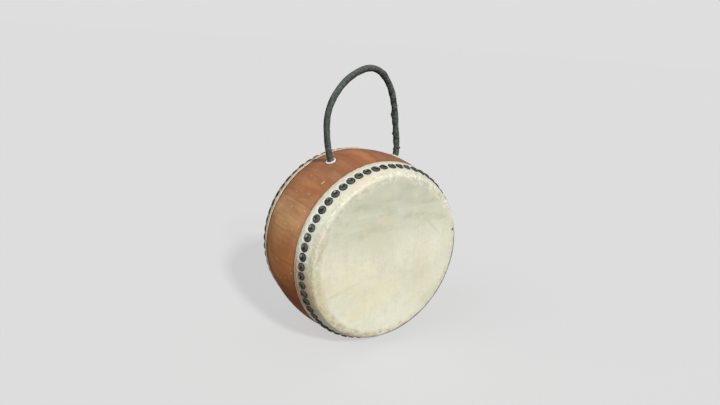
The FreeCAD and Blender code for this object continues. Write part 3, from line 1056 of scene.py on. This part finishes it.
def make_tacks():
    """The two rings of tacks. Those of the back are less worn, with less painted sheen and glint.
    """
    template = added("tack", tack_mesh())
    shape = tack_ring_shape()
    low, high = tack_half_spacing - tack_seat_half, tack_half_spacing + tack_seat_half
    lean = math.atan2(float(barrel(low) - barrel(high)), high - low)
    seat = float(barrel(tack_half_spacing)) + skin_offset
    front_paint = tack_material("front_tack_paint", colour(50, 51, 47), 1.0)
    back_paint = tack_material("back_tack_paint", colour(30, 28, 25), 0.35)
    rows = (
        ("front_tacks", -1.0, 5, front_bite, front_paint),
        ("back_tacks", 1.0, 8, back_bite, back_paint),
    )
    for name, side, seed, bite, material in rows:
        both = {"Tack": template, "Count": tacks_per_head, "Lean": lean, "Material": material}
        mesh = shape.make(name, Side=side, Seed=seed, Seat=seat - bite, **both)
        shell_piece(f"{name}_domed", name, mesh, material)
    bpy.data.objects.remove(template)


def grommet_frame(side):
    """The turn and place that put a shape round +Z, with heights from the axis, at a grommet."""
    place = Matrix.Translation((0, handle_setback, axis_height))
    return place @ Matrix.Rotation(math.radians(side * grommet_angle), 4, "Y")


def arc(radius, height, size, first, last, count):
    """Points of an arc about a centre, as (radius, height), between two angles in degrees."""
    turns = np.radians(np.linspace(first, last, count))
    return [(radius + size * math.cos(t), height + size * math.sin(t)) for t in turns]


def make_grommet(name, side, material):
    """A flanged sleeve with a soft round lip."""
    lip = (flange_top - seat_radius) * 0.52
    profile = arc(grommet_bore + lip_curl, flange_top - lip_curl, lip_curl, 180, 90, 5)
    profile += arc(flange_radius - lip, flange_top - lip, lip, 90, -70, 9)
    profile += [(sleeve_radius + 0.0002, seat_radius), (sleeve_radius, seat_radius - 0.0003)]
    profile += [(sleeve_radius, knot_top + 0.0001), (grommet_bore, knot_top + 0.0001)]
    mesh = mesh_of_rings(name, lathed(profile, grommet_sides), closed=True)
    mesh.transform(grommet_frame(side))
    shell_piece(f"{name}_lipped", name, mesh, material, 50.0)


def smooth_line(name, points):
    """Points along the smooth NURBS line that has these as its control points."""
    curve = bpy.data.curves.new(name, "CURVE")
    curve.dimensions = "3D"
    spline = curve.splines.new("NURBS")
    spline.points.add(len(points) - 1)
    for point, place in zip(spline.points, points):
        point.co = (*place, 1.0)
    spline.order_u = 3
    spline.use_endpoint_u = True
    spline.resolution_u = 24
    mesh = baked(added(name, curve), name)
    line = np.array([v.co for v in mesh.vertices])
    bpy.data.meshes.remove(mesh)
    return line


def evenly(line, spacing):
    """Points at an even spacing along a line, and how far along each one is."""
    runs = np.linalg.norm(np.diff(line, axis=0), axis=1)
    reach = np.concatenate([[0], np.cumsum(runs)])
    count = int(reach[-1] / spacing)
    stops = np.linspace(0, reach[-1], count + 1)
    return np.stack([np.interp(stops, reach, line[:, k]) for k in range(3)], -1), stops


def tube(name, line, stops, radius_at, sides, start_side):
    """A mesh tube along a line, with a UV map in metres.

    Its radius is a function of the way along it and of the turns round it.
    """
    headings = np.gradient(line, axis=0)
    headings /= np.linalg.norm(headings, axis=1)[:, None]
    across = np.array(start_side, float)
    turns = np.arange(sides) * math.tau / sides
    rings = []
    for place, heading, stop in zip(line, headings, stops):
        across = across - heading * (across @ heading)
        across /= np.linalg.norm(across)
        other = np.cross(heading, across)
        ring = np.cos(turns)[:, None] * across + np.sin(turns)[:, None] * other
        rings.append(place + radius_at(stop, turns)[:, None] * ring)
    mesh = mesh_of_rings(name, rings)
    layer = mesh.uv_layers.new(name="UVMap")
    girth = math.tau * rope_radius
    for face in mesh.polygons:
        columns = [v % sides if v < len(stops) * sides else 0 for v in face.vertices]
        wraps = max(columns) - min(columns) > sides / 2
        for loop, vertex, column in zip(face.loop_indices, face.vertices, columns):
            row = min(vertex // sides, len(stops) - 1)
            share = (column + (sides if wraps and column == 0 else 0)) / sides
            layer.data[loop].uv = (share * girth, stops[row])
    return mesh


def rope_points():
    """The rope's route from one knot through both grommets to the other."""

    def on_radius(side, radius):
        turn = math.radians(side * grommet_angle)
        return (radius * math.sin(turn), handle_setback, axis_height + radius * math.cos(turn))

    top = axis_height + belly_radius
    route = [(x, handle_setback, top + z) for x, z in handle_route]
    knot = (knot_top + knot_bottom) / 2
    ends = [[on_radius(side, r) for r in (knot, bore_middle, hinge_radius)] for side in (-1, 1)]
    return ends[0] + route + list(reversed(ends[1]))


# Lumps in the cloth, as (way along, way round in turns, length, height)
cloth_lumps = [
    (0.1870, 0.25, 0.0050, 0.0007),
    (0.2332, 0.34, 0.0011, 0.0007),
    (0.2455, 0.84, 0.0032, 0.0014),
    (0.2520, 0.55, 0.0040, 0.0006),
    (0.2620, 0.10, 0.0040, 0.0005),
    (0.2705, 0.84, 0.0012, 0.0011),
    (0.2905, 0.34, 0.0013, 0.0013),
    (0.2925, 0.84, 0.0015, 0.0009),
]


def cloth_radius(total, inside):
    """The rope's radius along and round it: wound cloth, lumpy on the right leg."""
    foot = inside + 0.004

    def radius_at(stop, turns):
        share = turns / math.tau
        out = ramp(stop, inside, foot) * ramp(total - stop, inside, foot)
        right_leg = ramp(stop, total * 0.60, total * 0.72)
        lap = (share + stop / cloth_pitch) % 1.0
        wound = (lap - 0.5) * lap_height * (1 + 1.6 * right_leg)
        edge = -0.20 * MM * bump(lap, 0.02, 0.05) * (1 + right_leg)
        uneven = 0.14 * MM * math.sin(stop * 210) + 0.10 * MM * math.sin(stop * 470 + 1.0)
        uneven -= 0.20 * MM * (1 - ramp(stop, 0.08, 0.13))
        lumps = 0 * turns
        for middle, way, length, height in cloth_lumps:
            gap = np.abs((share - way + 0.5) % 1.0 - 0.5)
            lumps = lumps + height * bump(stop, middle, length) * bump(gap, 0.0, 0.17)
        return rope_radius + out * (wound + edge + uneven * (0.6 + right_leg) + lumps)

    return radius_at


def tightened(_, turns):
    """The rope's radius in a knot."""
    return rope_radius * knot_squeeze + 0 * turns


def make_knot(name, node, side, material):
    """The stopper knot inside the shell: nearly two tight turns and a short tail."""
    coil = knot_radius - rope_radius
    top = knot_top - rope_radius
    line = []
    for share in np.linspace(0, 1, 41):
        t = math.tau * knot_turns * share
        line.append((coil * math.cos(t), coil * math.sin(t), top - knot_drop * share))
    x, y, z = line[-1]
    for left in np.linspace(1, 0, 9)[1:]:
        line.append((x * left, y * left, z - tail_length * (1 - left)))
    line, stops = evenly(np.array(line), knot_step)
    mesh = tube(name, line, stops, tightened, knot_sides, (0, 0, 1))
    mesh.transform(grommet_frame(side))
    return shell_piece(name, node, mesh, material)


def make_rope(material):
    """The rope handle, which bends where it leaves the grommets."""
    line, stops = evenly(smooth_line("rope_route", rope_points()), rope_step)
    total = float(stops[-1])
    inside = flange_top - (knot_top + knot_bottom) / 2
    mesh = tube("rope_handle", line, stops, cloth_radius(total, inside), rope_sides, (0, 1, 0))
    rope = piece("rope_handle", mesh, material)
    knots = [
        make_knot("left_knot", "left_rope_end", -1, material),
        make_knot("right_knot", "right_rope_end", 1, material),
    ]
    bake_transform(rope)
    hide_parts("handle_rope")


def make_camera():
    """The camera, turned as it was over the real drum."""
    back = camera_right.cross(camera_up)
    data = bpy.data.cameras.new("camera")
    data.sensor_width = sensor_width
    data.lens = focal_pixels / photo_width * sensor_width
    data.clip_start = 0.01
    data.clip_end = 50.0
    camera = added("camera", data)
    turned = Matrix((camera_right, camera_up, back)).transposed().to_4x4()
    camera.matrix_world = Matrix.Translation(camera_place) @ turned
    bpy.context.scene.camera = camera


def make_lamp(name, direction, strength, tone, disc, in_gloss):
    """A far lamp that shines from a direction towards the drum."""
    data = bpy.data.lights.new(name, "SUN")
    data.energy = strength
    data.color = tone
    data.angle = math.radians(disc)
    lamp = added(name, data)
    towards = Vector(direction).normalized()
    lamp.rotation_mode = "QUATERNION"
    lamp.rotation_quaternion = towards.to_track_quat("Z", "Y")
    lamp.location = Vector((0, 0, axis_height)) + towards * lamp_distance
    lamp.visible_glossy = in_gloss


def make_stage():
    """A pale floor under soft studio light, in front of a backdrop of the same tone."""
    scene = bpy.context.scene
    scene.view_settings.view_transform = "Standard"
    mesh = bpy.data.meshes.new("floor")
    far = floor_half_size
    corners = [(-far, -far, 0), (far, -far, 0), (far, far, 0), (-far, far, 0)]
    mesh.from_pydata(corners, [], [(0, 1, 2, 3)])
    lit = {"Emission_Color": floor_glow, "Emission_Strength": 1.0}
    dull = {"Roughness": 1.0, "Specular_IOR_Level": 0.0}
    mesh.materials.append(new_material("pale_floor", Base_Color=floor_tone, **lit, **dull)[0])
    floor = added("floor", mesh)
    # The floor neither lights the drum nor holds off the bounce lamp below it.
    floor.visible_diffuse = False
    floor.visible_glossy = False
    floor.visible_shadow = False
    world = bpy.data.worlds.new("studio")
    world.use_nodes = True
    scene.world = world
    start = Wire(world.node_tree)
    seen = start.node("ShaderNodeLightPath")
    _, _, rise = start.node("ShaderNodeTexCoord").parts()
    glow = rise.step(-0.35, 0.60) * (sky_above - sky_below) + sky_below
    even = {"Color": colour(*[backdrop_tone] * 3), "Strength": 1.0}
    soft = {"Color": (0.99, 1.0, 1.01, 1.0), "Strength": glow}
    backdrop = start.node("ShaderNodeBackground", even)
    light = start.node("ShaderNodeBackground", soft)
    mixed = start.node("ShaderNodeMixShader", {0: seen, 1: light, 2: backdrop})
    output = world.node_tree.nodes["World Output"]
    world.node_tree.links.new(mixed.socket, output.inputs["Surface"])
    for lamp in lamps:
        make_lamp(*lamp)


make_camera()
make_rope(rope_material())
make_staves()
front_hide = rawhide_material("front_rawhide", True)
back_hide = rawhide_material("back_rawhide", False)
make_head("front_skin", "front_head", -1, front_hide, 1, front_bite, front_trim, front_feather)
make_head("back_skin", "back_head", 1, back_hide, 9, back_bite, back_trim, back_feather)
make_tacks()
plastic = grommet_material()
make_grommet("left_grommet", -1, plastic)
make_grommet("right_grommet", 1, plastic)
make_stage()
